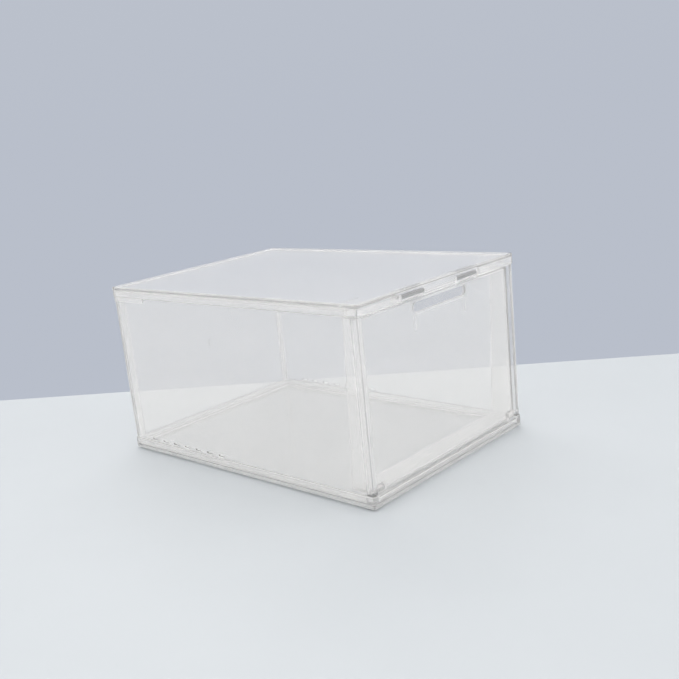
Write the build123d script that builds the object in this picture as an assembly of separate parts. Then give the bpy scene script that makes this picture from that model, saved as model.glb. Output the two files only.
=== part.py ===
from build123d import *
import os

# A clear drop-front shoe box. Millimetres, +Z up, the door faces -Y.
# The origin is on the surface that the box stands on, under its middle.

# Overall size.
box_width = 250.0
box_depth = 350.0
box_height = 187.0

# Outer bands: the base tray's rim and the top cover's skirt.
band_thickness = 2.4
band_corner_radius = 3.0
base_height = 13.0
base_front_height = 11.0
cover_height = 11.0

# Base tray.
floor_level = 6.0
floor_thickness = 2.5
foot_height = 1.5
foot_width = 2.4

# Top cover and stacking rim.
lid_thickness = 2.5
stack_rim_width = 3.0
stack_rim_height = 1.5
nest_clearance = 0.6
edge_round = 0.9

# Tongues on the walls and the grooves that hold them.
groove_lip_thickness = 2.4
groove_lip_height = 3.0
tongue_clearance = 0.2

# Walls.
panel_inset = 1.2
panel_thickness = 2.8
panel_edge_round = 0.8
panel_corner_round = 1.6

# Front post and rear channel rib on each side wall.
post_width = 4.0
post_depth = 9.0
rib_reach = 8.0
rib_thickness = 2.4

# Vent slots low in each side wall.
vent_count = 7
vent_pitch = 18.5
vent_rear_offset = 36.0
vent_length = 9.0
vent_height = 2.6
vent_lift = 1.6

# Rear clip tabs of the cover, over the side walls.
clip_length = 50.0
clip_drop = 4.5
clip_clearance = 0.1

# Front rail of the cover, with the latch magnets.
rail_depth = 9.6
rail_end_wall = 4.0
magnet_length = 34.0
magnet_depth = 5.0
magnet_height = 3.5
magnet_recess = 1.8
magnet_spacing = 86.0
magnet_front_offset = 4.0
pocket_clearance = 0.1

# Shut stops: two ribs under the lid, just behind the door's top rim.
stop_length = 20.0
stop_thickness = 2.4
stop_inset = 4.0
stop_reach = 2.2
stop_clearance = 0.4

# Front door.
door_setback = 3.5
door_thickness = 2.5
door_side_clearance = 0.8
door_swing_clearance = 0.5
door_bottom_clearance = 1.4
rim_thickness = 2.5
rim_depth_top = 19.5
rim_depth_bottom = 27.5
door_edge_round = 0.7
strike_thickness = 1.0

# Finger slot and its collar, in the door.
slot_length = 84.0
slot_height = 10.0
slot_drop = 8.6
collar_width = 2.0
collar_height = 1.2

# Moulded marks: two ribs under the slot's ends, one at the middle of the back wall.
mark_width = 3.0
mark_proud = 1.0
door_mark_height = 14.0
door_mark_spacing = 80.0
door_mark_gap = 2.5
back_mark_height = 9.0

# Hinge.
knuckle_radius = 4.0
knuckle_length = 12.0
hinge_axis_lift = 4.6
hinge_axis_setback = 2.0
pin_radius = 2.0
pin_press = 0.02
pin_running_clearance = 0.05
pin_grip = 11.0
pin_reach = 4.5
pin_end_clearance = 0.5
pin_chamfer = 0.3

# How near an edge must lie to a plane to be picked for rounding.
pick_tolerance = 0.01

# Places that several pieces share.
half_width = box_width / 2
half_depth = box_depth / 2
cover_bottom = box_height - cover_height
lid_top = box_height - stack_rim_height
lid_bottom = lid_top - lid_thickness
band_inner_x = half_width - band_thickness
band_inner_y = half_depth - band_thickness
wall_outer_x = half_width - panel_inset
wall_outer_y = half_depth - panel_inset
wall_inner_x = wall_outer_x - panel_thickness
wall_inner_y = wall_outer_y - panel_thickness
tongue_outer_x = band_inner_x - tongue_clearance
tongue_outer_y = band_inner_y - tongue_clearance
lip_outer_x = wall_inner_x - tongue_clearance
lip_outer_y = wall_inner_y - tongue_clearance
post_inner_x = wall_inner_x - post_width
post_rear_y = -wall_outer_y + post_depth
rail_rear_y = -band_inner_y + rail_depth
door_half_width = post_inner_x - door_side_clearance
door_front_y = -half_depth + door_setback
door_bottom = base_front_height + door_bottom_clearance
hinge_y = door_front_y + hinge_axis_setback
hinge_z = door_bottom + hinge_axis_lift
# The door's top rear edge passes under the cover, at the named clearance, as the door swings.
swing_radius = cover_bottom - door_swing_clearance - hinge_z
swing_reach = rim_depth_top - hinge_axis_setback
door_top = hinge_z + (swing_radius**2 - swing_reach**2) ** 0.5
magnet_y = -half_depth + magnet_front_offset + magnet_depth / 2
rail_half_length = (magnet_spacing + magnet_length) / 2 + rail_end_wall
slot_z = door_top - slot_drop
stop_front_y = door_front_y + rim_depth_top + stop_clearance


def block(x_low, x_high, y_low, y_high, z_low, z_high):
    """A square block between two corners."""
    size = (x_high - x_low, y_high - y_low, z_high - z_low)
    middle = ((x_low + x_high) / 2, (y_low + y_high) / 2, (z_low + z_high) / 2)
    return Pos(*middle) * Box(*size)


def rounded_plate(half_x, half_y, radius, z_low, z_high):
    """A plate centred on the box, with round vertical corners."""
    outline = Pos(0, 0, z_low) * RectangleRounded(2 * half_x, 2 * half_y, radius)
    return extrude(outline, z_high - z_low)


def centred_block(half_x, half_y, z_low, z_high):
    """A square-cornered plate centred on the box."""
    return block(-half_x, half_x, -half_y, half_y, z_low, z_high)


def slot_solid(length, height, thickness, x, y, z, upright=False):
    """A round-ended bar through the XZ plane, its front face at y."""
    turn = 90 if upright else 0
    face = Plane(origin=(x, y, z), x_dir=(1, 0, 0), z_dir=(0, -1, 0))
    outline = face * Rot(0, 0, turn) * SlotOverall(length, height)
    return extrude(outline, -thickness)


def rod(radius, x_start, x_end, y, z):
    """A round bar along X."""
    length = abs(x_end - x_start)
    middle = (x_start + x_end) / 2
    return Pos(middle, y, z) * Rot(0, 90, 0) * Cylinder(radius, length)


def edges_at_height(solid, height):
    """All edges of the solid that lie at one height."""
    return solid.edges().filter_by_position(Axis.Z, height - pick_tolerance, height + pick_tolerance)


def outer_upright_edges(solid, x_far, y_far):
    """Upright edges in the planes x = x_far and y = +-y_far together."""
    chosen = ShapeList()
    for edge in solid.edges().filter_by(Axis.Z):
        centre = edge.center()
        off_x = abs(abs(centre.X) - x_far)
        off_y = abs(abs(centre.Y) - y_far)
        if max(off_x, off_y) < pick_tolerance:
            chosen.append(edge)
    return chosen


def make_base_tray():
    band = rounded_plate(half_width, half_depth, band_corner_radius, foot_height, base_height)
    band = fillet(edges_at_height(band, foot_height), edge_round)
    band -= centred_block(band_inner_x, band_inner_y, floor_level, base_height)
    band -= centred_block(band_inner_x, band_inner_y, foot_height, floor_level - floor_thickness)
    band -= block(
        -post_inner_x, post_inner_x, -half_depth, -band_inner_y, base_front_height, base_height
    )
    foot_outer_x = half_width - stack_rim_width - nest_clearance
    foot_outer_y = half_depth - stack_rim_width - nest_clearance
    foot = rounded_plate(foot_outer_x, foot_outer_y, band_corner_radius, 0, floor_level)
    foot -= centred_block(foot_outer_x - foot_width, foot_outer_y - foot_width, 0, floor_level)
    tray = band + foot
    for side in (-1, 1):
        inner, outer = sorted((side * post_inner_x, side * band_inner_x))
        tray += block(inner, outer, -band_inner_y, post_rear_y, floor_level, base_height)
    return tray + groove_lip(floor_level, floor_level + groove_lip_height, post_rear_y)


def groove_lip(z_low, z_high, front_y):
    """The inner lip of the wall grooves, along both sides and the back."""
    front_y += tongue_clearance
    inner_x = lip_outer_x - groove_lip_thickness
    inner_y = lip_outer_y - groove_lip_thickness
    lip = block(-lip_outer_x, lip_outer_x, front_y, lip_outer_y, z_low, z_high)
    return lip - block(-inner_x, inner_x, front_y, inner_y, z_low, z_high)


def make_top_cover():
    cover = rounded_plate(half_width, half_depth, band_corner_radius, cover_bottom, box_height)
    cover = fillet(edges_at_height(cover, box_height), edge_round)
    recess_x = half_width - stack_rim_width
    recess_y = half_depth - stack_rim_width
    cover -= rounded_plate(recess_x, recess_y, band_corner_radius, lid_top, box_height)
    cover -= centred_block(band_inner_x, band_inner_y, cover_bottom, lid_bottom)
    cover += block(
        -rail_half_length, rail_half_length, -band_inner_y, rail_rear_y, cover_bottom, lid_bottom
    )
    cover += groove_lip(lid_bottom - groove_lip_height, lid_bottom, rail_rear_y)
    for side in (-1, 1):
        cover += clip_tab(side)
        cover += shut_stop(side)
        cover -= magnet_block(side, pocket_clearance)
    return cover


def clip_tab(side):
    """The skirt's longer stretch at the rear end of one side wall."""
    inner, outer = sorted((side * (wall_outer_x + clip_clearance), side * half_width))
    rear_y = half_depth - band_corner_radius
    return block(inner, outer, rear_y - clip_length, rear_y, cover_bottom - clip_drop, cover_bottom)


def shut_stop(side):
    """One rib that the shut door's top rim would meet, if it were pushed inward."""
    outer_end = door_half_width - stop_inset
    inner, outer = sorted((side * (outer_end - stop_length), side * outer_end))
    rear_y = stop_front_y + stop_thickness
    return block(inner, outer, stop_front_y, rear_y, door_top - stop_reach, lid_bottom)


def magnet_block(side, clearance):
    """One latch magnet, or its pocket, open below, when given a clearance round its sides."""
    x = side * magnet_spacing / 2
    magnet_bottom = cover_bottom + magnet_recess
    return block(
        x - magnet_length / 2 - clearance,
        x + magnet_length / 2 + clearance,
        magnet_y - magnet_depth / 2 - clearance,
        magnet_y + magnet_depth / 2 + clearance,
        cover_bottom if clearance else magnet_bottom,
        magnet_bottom + magnet_height,
    )


def strike_block(side, clearance):
    """One strike plate, or its recess when given a clearance round its sides."""
    x = side * magnet_spacing / 2
    return block(
        x - magnet_length / 2 - clearance,
        x + magnet_length / 2 + clearance,
        magnet_y - magnet_depth / 2 - clearance,
        magnet_y + magnet_depth / 2 + clearance,
        door_top - strike_thickness,
        door_top,
    )


def make_side_panel(side):
    """One side wall: side is -1 for the left and 1 for the right."""
    panel = block(wall_inner_x, wall_outer_x, -wall_outer_y, wall_outer_y, base_height, cover_bottom)
    panel += block(post_inner_x, wall_inner_x, -wall_outer_y, post_rear_y, base_height, cover_bottom)
    panel = fillet(outer_upright_edges(panel, wall_outer_x, wall_outer_y), panel_corner_round)
    panel = fillet(outer_upright_edges(panel, post_inner_x, wall_outer_y), panel_edge_round)
    rib_rear_y = wall_inner_y - tongue_clearance
    panel += block(
        wall_inner_x - rib_reach, wall_inner_x, rib_rear_y - rib_thickness, rib_rear_y,
        base_height, cover_bottom,
    )
    tongue_low = floor_level + tongue_clearance
    tongue_high = lid_bottom - tongue_clearance
    tongue_front = post_rear_y + 2 * tongue_clearance
    panel += block(
        wall_inner_x, tongue_outer_x, tongue_front, tongue_outer_y, tongue_low, base_height
    )
    tongue_front = rail_rear_y + 2 * tongue_clearance
    panel += block(
        wall_inner_x, tongue_outer_x, tongue_front, tongue_outer_y, cover_bottom, tongue_high
    )
    bore_radius = pin_radius + pin_running_clearance
    bore_end = post_inner_x + pin_reach + pin_end_clearance
    panel -= rod(bore_radius, post_inner_x, bore_end, hinge_y, hinge_z)
    panel -= vent_slots()
    return panel if side > 0 else mirror(panel, about=Plane.YZ)


def vent_slots():
    """The row of vent slots, as cutters through the right side wall."""
    z = base_height + vent_lift + vent_height / 2
    cutters = Part()
    for index in range(vent_count):
        y = half_depth - vent_rear_offset - index * vent_pitch
        face = Plane(origin=(wall_inner_x, y, z), x_dir=(0, 1, 0), z_dir=(1, 0, 0))
        cutters += extrude(face * SlotOverall(vent_length, vent_height), panel_thickness)
    return cutters


def make_back_panel():
    half_x = wall_inner_x - tongue_clearance
    panel = block(-half_x, half_x, wall_inner_y, wall_outer_y, base_height, cover_bottom)
    tongue_low = floor_level + tongue_clearance
    tongue_high = lid_bottom - tongue_clearance
    panel += block(-half_x, half_x, wall_inner_y, tongue_outer_y, tongue_low, base_height)
    panel += block(-half_x, half_x, wall_inner_y, tongue_outer_y, cover_bottom, tongue_high)
    mark_z = box_height / 2
    mark = slot_solid(
        back_mark_height, mark_width, mark_proud, 0, wall_inner_y - mark_proud, mark_z, upright=True
    )
    return panel + mark


def door_side_rim(x_low, x_high):
    """One upright rim of the door, deeper at its foot than at its top."""
    rear_low = door_front_y + rim_depth_bottom
    rear_high = door_front_y + rim_depth_top
    outline = Polyline(
        (door_front_y, door_bottom),
        (rear_low, door_bottom),
        (rear_high, door_top),
        (door_front_y, door_top),
        close=True,
    )
    face = Plane(origin=(x_low, 0, 0), x_dir=(0, 1, 0), z_dir=(1, 0, 0))
    return extrude(face * make_face(outline), x_high - x_low)


def make_front_door():
    door = block(
        -door_half_width, door_half_width, door_front_y, door_front_y + door_thickness,
        door_bottom, door_top,
    )
    door += block(
        -door_half_width, door_half_width, door_front_y, door_front_y + rim_depth_top,
        door_top - rim_thickness, door_top,
    )
    door += block(
        -door_half_width, door_half_width, door_front_y, door_front_y + rim_depth_bottom,
        door_bottom, door_bottom + rim_thickness,
    )
    door += door_side_rim(-door_half_width, -door_half_width + rim_thickness)
    door += door_side_rim(door_half_width - rim_thickness, door_half_width)
    front_edges = door.edges().filter_by_position(
        Axis.Y, door_front_y - pick_tolerance, door_front_y + pick_tolerance
    )
    door = fillet(front_edges, door_edge_round)
    inner_y = door_front_y + door_thickness
    door += slot_solid(
        slot_length + 2 * collar_width, slot_height + 2 * collar_width, collar_height,
        0, inner_y, slot_z,
    )
    door -= slot_solid(
        slot_length, slot_height, door_thickness + collar_height, 0, door_front_y, slot_z
    )
    mark_z = slot_z - slot_height / 2 - door_mark_gap - door_mark_height / 2
    for side in (-1, 1):
        door += slot_solid(
            door_mark_height, mark_width, mark_proud, side * door_mark_spacing / 2, inner_y, mark_z,
            upright=True,
        )
        knuckle_end = side * door_half_width
        knuckle_start = knuckle_end - side * knuckle_length
        door += rod(knuckle_radius, knuckle_start, knuckle_end, hinge_y, hinge_z)
        grip_start = knuckle_end - side * pin_grip
        door -= rod(pin_radius - pin_press, grip_start, knuckle_end, hinge_y, hinge_z)
        door -= strike_block(side, pocket_clearance)
    return door


def make_hinge_pin(side):
    """One hinge pin, pressed into the door and free in the side wall's post."""
    start = side * (door_half_width - pin_grip)
    end = side * (post_inner_x + pin_reach)
    pin = rod(pin_radius, start, end, hinge_y, hinge_z)
    return chamfer(pin.edges().filter_by(GeomType.CIRCLE), pin_chamfer)


pieces = {
    "base_tray": make_base_tray(),
    "top_cover": make_top_cover(),
    "left_side_panel": make_side_panel(-1),
    "right_side_panel": make_side_panel(1),
    "back_panel": make_back_panel(),
    "front_door": make_front_door(),
    "left_hinge_pin": make_hinge_pin(-1),
    "right_hinge_pin": make_hinge_pin(1),
    "left_latch_magnet": magnet_block(-1, 0),
    "right_latch_magnet": magnet_block(1, 0),
    "left_strike_plate": strike_block(-1, 0),
    "right_strike_plate": strike_block(1, 0),
}

os.makedirs("parts", exist_ok=True)
for name, piece in pieces.items():
    export_step(piece, f"parts/{name}.step")
    print(name, round(piece.volume), "mm3")
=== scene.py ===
import bpy
import bmesh
import math
from mathutils import Matrix, Vector


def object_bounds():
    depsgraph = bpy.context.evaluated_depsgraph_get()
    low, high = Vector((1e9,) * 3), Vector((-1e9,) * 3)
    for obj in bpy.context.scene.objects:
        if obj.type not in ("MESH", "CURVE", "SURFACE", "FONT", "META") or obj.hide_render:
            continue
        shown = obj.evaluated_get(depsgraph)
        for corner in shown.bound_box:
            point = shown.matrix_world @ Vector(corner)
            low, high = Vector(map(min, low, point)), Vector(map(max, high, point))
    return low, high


# lengths are in metres and angles in degrees, apart from the lens and its sensor, in millimetres
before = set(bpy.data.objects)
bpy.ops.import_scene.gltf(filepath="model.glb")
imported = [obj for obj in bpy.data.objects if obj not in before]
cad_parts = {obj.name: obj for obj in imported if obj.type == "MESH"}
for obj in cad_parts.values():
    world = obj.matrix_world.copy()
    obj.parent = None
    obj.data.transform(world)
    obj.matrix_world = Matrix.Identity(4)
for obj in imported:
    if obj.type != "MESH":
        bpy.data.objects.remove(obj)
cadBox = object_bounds()
boxMiddle = (cadBox[0] + cadBox[1]) / 2
print("frame loaded", [round(v, 4) for v in cadBox[1] - cadBox[0]])


class Signal:
    # a shader value that can be written in sums
    def __init__(self, finish, socket):
        self.finish = finish
        self.socket = socket

    def sum(self, operation, first, second):
        return self.finish.node("ShaderNodeMath", {"operation": operation}, {0: first, 1: second})

    def __add__(self, other):
        return self.sum("ADD", self, other)

    def __radd__(self, other):
        return self.sum("ADD", other, self)

    def __sub__(self, other):
        return self.sum("SUBTRACT", self, other)

    def __rsub__(self, other):
        return self.sum("SUBTRACT", other, self)

    def __mul__(self, other):
        return self.sum("MULTIPLY", self, other)

    def __rmul__(self, other):
        return self.sum("MULTIPLY", other, self)


class Finish:
    # the nodes of one material, or of the world, and the one way that they are made
    def __init__(self, owner):
        self.owner = owner
        owner.use_nodes = True
        self.tree = owner.node_tree
        self.tree.nodes.clear()

    def node(self, kind, settings=None, values=None, output=0):
        made = self.tree.nodes.new(kind)
        for key, value in (settings or {}).items():
            if key == "stops":
                self.setStops(made.color_ramp, value)
            else:
                setattr(made, key, value)
        for key, value in (values or {}).items():
            if isinstance(value, Signal):
                self.tree.links.new(value.socket, made.inputs[key])
            else:
                made.inputs[key].default_value = value
        return None if output is None else Signal(self, made.outputs[output])

    def setStops(self, ramp, stops):
        # each stop is a place with a shade of grey or a colour
        while len(ramp.elements) < len(stops):
            ramp.elements.new(0.5)
        for element, (place, shade) in zip(ramp.elements, stops):
            element.position = place
            element.color = (*shade, 1) if isinstance(shade, tuple) else (shade, shade, shade, 1)

    def place(self):
        return self.node("ShaderNodeTexCoord", output="Object")

    def stretched(self, scale):
        return self.node("ShaderNodeVectorMath", {"operation": "MULTIPLY"}, {0: self.place(), 1: scale})

    def dot(self, first, second):
        return self.node("ShaderNodeVectorMath", {"operation": "DOT_PRODUCT"}, {0: first, 1: second}, "Value")

    def noise(self, where, scale, detail=3, roughness=0.5):
        values = {"Vector": where, "Scale": scale, "Detail": detail, "Roughness": roughness}
        return self.node("ShaderNodeTexNoise", None, values)

    def ramp(self, source, stops):
        return self.node("ShaderNodeValToRGB", {"stops": stops}, {0: source})

    def blend(self, factor, first, second):
        # inputs 6 and 7 of a Mix node are its two colours, and output 2 is the mixed one
        colours = [v if isinstance(v, Signal) else (*v, 1) for v in (first, second)]
        return self.node("ShaderNodeMix", {"data_type": "RGBA"}, {0: factor, 6: colours[0], 7: colours[1]}, 2)

    def bump(self, height, strength, distance):
        values = {"Height": height, "Strength": strength, "Distance": distance}
        return self.node("ShaderNodeBump", None, values)

    def edges(self, radius):
        # 0 on a flat face, rising towards 1 within the radius of a sharp corner
        rounded = self.node("ShaderNodeBevel", {"samples": 8}, {"Radius": radius})
        flat = self.node("ShaderNodeNewGeometry", output="Normal")
        return 1 - self.dot(rounded, flat)

    def surface(self, values):
        return self.node("ShaderNodeBsdfPrincipled", None, values)

    def layered(self, share, first, second):
        return self.node("ShaderNodeMixShader", None, {0: share, 1: first, 2: second})

    def close(self, shader, kind="ShaderNodeOutputMaterial"):
        self.node(kind, None, {"Surface": shader}, None)
        return self.owner


clearPlastic = {
    "tint": (1.0, 0.995, 0.987),
    "tintDeep": (0.99, 0.983, 0.974),
    "passing": 0.79,
    "bending": 1.49,
    "gloss": 0.012,
    "glossSpread": 0.03,
    "waveScale": 5,
    "waveGloss": 0.5,
    "waveHeight": 0.0006,
    "waviness": 0.15,
    "cloudScale": 9,
    "cloudShare": 0.6,
    "scuffStretch": (260, 40, 60),
    "scuffStops": [(0.6, 0.0), (0.74, 1.0)],
    "scuffGloss": 0.35,
    # the next four set the painted edge highlight, a white layer mixed in near the edges
    "paintedEdgeLightWidth": 0.0008,
    "paintedEdgeLightStops": [(0.01, 0.0), (0.15, 0.8)],
    "paintedEdgeLight": (1.0, 1.0, 1.0, 1.0),
    "paintedEdgeLightGloss": 0.3,
}
# how the melt ran through each mould, as stretch factors along X, Y and Z
flows = {
    "clearMoulded": (1, 3, 3),
    "clearWall": (3, 1.2, 3),
    "clearDoor": (1.2, 3, 3),
}


def makeClear(name, flow, spec):
    finish = Finish(bpy.data.materials.new(name))
    waves = finish.noise(finish.stretched(flow), spec["waveScale"], detail=1)
    clouds = finish.noise(finish.place(), spec["cloudScale"], detail=2)
    scratches = finish.noise(finish.stretched(spec["scuffStretch"]), 1, detail=5, roughness=0.7)
    scuffs = finish.ramp(scratches, spec["scuffStops"])
    depth = clouds * spec["cloudShare"] + waves * (1 - spec["cloudShare"])
    dulled = waves * spec["waveGloss"] + scuffs * spec["scuffGloss"]
    body = finish.surface({
        "Base Color": finish.blend(depth, spec["tint"], spec["tintDeep"]),
        "Roughness": spec["gloss"] + spec["glossSpread"] * dulled,
        "Transmission Weight": spec["passing"],
        "IOR": spec["bending"],
        "Normal": finish.bump(waves, spec["waviness"], spec["waveHeight"]),
    })
    # painted edge highlight: a white diffuse layer is mixed in near the edges, standing in for light that
    # runs inside the plastic and leaves it at the edges, so they look whiter
    lit = finish.surface({"Base Color": spec["paintedEdgeLight"], "Roughness": spec["paintedEdgeLightGloss"]})
    rim = finish.ramp(finish.edges(spec["paintedEdgeLightWidth"]), spec["paintedEdgeLightStops"])
    return finish.close(finish.layered(rim, body, lit))


darkFerrite = {
    "dark": (0.03, 0.03, 0.033),
    "worn": (0.075, 0.075, 0.08),
    "wearScale": 160,
    "speckScale": 1500,
    "metal": 0.4,
    "gloss": 0.35,
    "glossSpread": 0.25,
    "grainStrength": 0.4,
    "grainHeight": 0.0002,
}


def makeMagnet(spec):
    finish = Finish(bpy.data.materials.new("darkFerrite"))
    speck = finish.noise(finish.place(), spec["speckScale"], detail=4, roughness=0.7)
    wear = finish.noise(finish.place(), spec["wearScale"])
    return finish.close(finish.surface({
        "Base Color": finish.blend(wear, spec["dark"], spec["worn"]),
        "Metallic": spec["metal"],
        "Roughness": spec["gloss"] + spec["glossSpread"] * speck,
        "Normal": finish.bump(speck, spec["grainStrength"], spec["grainHeight"]),
    }))


platedSteel = {
    "dark": (0.56, 0.57, 0.58),
    "bright": (0.7, 0.71, 0.72),
    "brushing": (40, 2500, 2500),
    "metal": 1.0,
    "gloss": 0.22,
    "glossSpread": 0.2,
    "grainStrength": 0.25,
    "grainHeight": 0.0001,
}


def makeSteel(spec):
    finish = Finish(bpy.data.materials.new("platedSteel"))
    brushed = finish.noise(finish.stretched(spec["brushing"]), 1, detail=4)
    return finish.close(finish.surface({
        "Base Color": finish.blend(brushed, spec["dark"], spec["bright"]),
        "Metallic": spec["metal"],
        "Roughness": spec["gloss"] + spec["glossSpread"] * brushed,
        "Normal": finish.bump(brushed, spec["grainStrength"], spec["grainHeight"]),
    }))


softening = {
    "plastic": 0.00035,
    "magnet": 0.0003,
    "plate": 0.0001,
    "joinWithin": 0.0000002,
    "steps": 2,
    "sharpFrom": 40,
}


def dress(node, material, edge):
    # a material on a CAD piece, and softly rounded edges where it has a width
    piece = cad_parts[node]
    piece.data.materials.clear()
    piece.data.materials.append(material)
    if edge:
        weld = piece.modifiers.new("joined", "WELD")
        weld.merge_threshold = softening["joinWithin"]
        bevel = piece.modifiers.new("softEdges", "BEVEL")
        bevel.width = edge
        bevel.segments = softening["steps"]
        bevel.limit_method = "ANGLE"
        bevel.angle_limit = math.radians(softening["sharpFrom"])
        bevel.harden_normals = True


mouldedFinish, wallFinish, doorFinish = (makeClear(name, flow, clearPlastic) for name, flow in flows.items())
magnetFinish = makeMagnet(darkFerrite)
steelFinish = makeSteel(platedSteel)

for node in ("base_tray", "top_cover"):
    dress(node, mouldedFinish, softening["plastic"])
for node in ("left_side_panel", "right_side_panel", "back_panel"):
    dress(node, wallFinish, softening["plastic"])
dress("front_door", doorFinish, softening["plastic"])
for side in ("left", "right"):
    dress(side + "_hinge_pin", doorFinish, 0)
    dress(side + "_latch_magnet", magnetFinish, softening["magnet"])
    dress(side + "_strike_plate", steelFinish, softening["plate"])
print("finishes on")


def lookFrom(azimuth, elevation, roll=0):
    # right, up and back directions of a camera or lamp that stands round the box
    azimuth, elevation, roll = (math.radians(v) for v in (azimuth, elevation, roll))
    level = math.cos(elevation)
    back = Vector((math.sin(azimuth) * level, -math.cos(azimuth) * level, math.sin(elevation)))
    right = Vector((math.cos(azimuth), math.sin(azimuth), 0))
    up = back.cross(right)
    cosine, sine = math.cos(roll), math.sin(roll)
    return (right * cosine + up * sine, up * cosine - right * sine, back)


def stand(data, spot, directions):
    # puts a camera or lamp at a spot, where it looks away from its back direction
    thing = bpy.data.objects.new(data.name, data)
    bpy.context.collection.objects.link(thing)
    thing.matrix_world = Matrix.Translation(spot) @ Matrix(directions).transposed().to_4x4()
    return thing


cameraSpec = {
    "azimuth": -45.23,
    "elevation": 14.54,
    "roll": -6.39,
    "distance": 0.98169,
    "aside": (0.00904, 0.00281),
    "lens": 48.12,
    "sensor": 36,
    "shift": (0.0495, 0.0275),
}


def makeCamera(spec):
    right, up, back = lookFrom(spec["azimuth"], spec["elevation"], spec["roll"])
    spot = boxMiddle + back * spec["distance"] - right * spec["aside"][0] - up * spec["aside"][1]
    data = bpy.data.cameras.new("camera")
    data.lens = spec["lens"]
    data.sensor_width = spec["sensor"]
    data.shift_x, data.shift_y = spec["shift"]
    data.dof.use_dof = False
    bpy.context.scene.camera = stand(data, spot, (right, up, back))


floorSpec = {
    "turn": -54,
    "far": 0.25,
    "near": 1.4,
    "halfWidth": 1.6,
    "thickness": 0.05,
    "edge": 0.018,
    "edgeSteps": 6,
    "shade": (0.512, 0.54, 0.562),
    "mottle": 0.015,
    "mottleScale": 14,
    "gloss": 0.55,
}


def makeFloor(spec):
    # a plain pale table top with a rounded rim
    mesh = bmesh.new()
    bmesh.ops.create_cube(mesh, size=1)
    depth = spec["far"] + spec["near"]
    bmesh.ops.scale(mesh, vec=(2 * spec["halfWidth"], depth, spec["thickness"]), verts=mesh.verts)
    shift = (0, (spec["far"] - spec["near"]) / 2, -spec["thickness"] / 2)
    bmesh.ops.translate(mesh, vec=shift, verts=mesh.verts)
    bmesh.ops.bevel(mesh, geom=mesh.edges[:], offset=spec["edge"], segments=spec["edgeSteps"],
                    affect="EDGES", profile=0.5)
    data = bpy.data.meshes.new("floor")
    mesh.to_mesh(data)
    mesh.free()
    data.shade_smooth()
    floor = bpy.data.objects.new("floor", data)
    bpy.context.collection.objects.link(floor)
    floor.rotation_euler.z = math.radians(spec["turn"])
    finish = Finish(bpy.data.materials.new("paleTable"))
    mottle = finish.noise(finish.place(), spec["mottleScale"], detail=6, roughness=0.6)
    darker = [v * (1 - spec["mottle"]) for v in spec["shade"]]
    lighter = [v * (1 + spec["mottle"]) for v in spec["shade"]]
    colour = finish.blend(mottle, darker, lighter)
    data.materials.append(finish.close(finish.surface({"Base Color": colour, "Roughness": spec["gloss"]})))


warmWhite = (1, 0.97, 0.93)
lightSpecs = [
    {"name": "overhead", "azimuth": -20, "elevation": 78, "distance": 1.7, "size": (1.6, 1.2), "power": 6},
    {"name": "leftTent", "azimuth": -112, "elevation": 32, "distance": 2.0, "size": (1.8, 1.4), "power": 9.5},
    {"name": "frontTent", "azimuth": 22, "elevation": 32, "distance": 2.0, "size": (1.8, 1.4), "power": 9.5},
    {"name": "backTent", "azimuth": 140, "elevation": 40, "distance": 2.0, "size": (2.0, 1.2), "power": 14},
]


def makeLight(spec):
    directions = lookFrom(spec["azimuth"], spec["elevation"])
    data = bpy.data.lights.new(spec["name"], "AREA")
    data.shape = "RECTANGLE"
    data.size, data.size_y = spec["size"]
    data.energy = spec["power"]
    data.color = warmWhite
    stand(data, boxMiddle + directions[2] * spec["distance"], directions)


worldSpec = {
    "wall": [(0.0, (0.485, 0.52, 0.595)), (0.3, (0.505, 0.54, 0.605)), (0.75, (1.0, 1.0, 1.0))],
    "room": (0.90, 0.91, 0.93),
    "roomSide": cameraSpec["azimuth"],
    "roomStops": [(0.12, 0), (0.6, 1)],
    "strength": 1.0,
}


def makeWorld(spec):
    # a blue grey wall behind the box, and a bright room on the side that the camera looks from
    world = bpy.data.worlds.new("studio")
    studio = Finish(world)
    where = studio.node("ShaderNodeTexCoord", output="Generated")
    height = studio.node("ShaderNodeSeparateXYZ", None, {0: where}, "Z")
    wall = studio.ramp(height, spec["wall"])
    towards = studio.dot(where, lookFrom(spec["roomSide"], 0)[2] / 2) + 0.5
    share = studio.ramp(towards, spec["roomStops"])
    colour = studio.blend(share, wall, spec["room"])
    lit = studio.node("ShaderNodeBackground", None, {"Color": colour, "Strength": spec["strength"]})
    bpy.context.scene.world = studio.close(lit, "ShaderNodeOutputWorld")


lightPaths = {
    "max_bounces": 28,
    "transmission_bounces": 24,
    "glossy_bounces": 10,
    "diffuse_bounces": 16,
    "blur_glossy": 0,  # this filter would darken all that is seen through the plastic
    "use_denoising": True,
}

makeCamera(cameraSpec)
makeFloor(floorSpec)
makeWorld(worldSpec)
for light in lightSpecs:
    makeLight(light)
scene = bpy.context.scene
scene.view_settings.view_transform = "Standard"
for key, value in lightPaths.items():
    setattr(scene.cycles, key, value)
print("studio set")
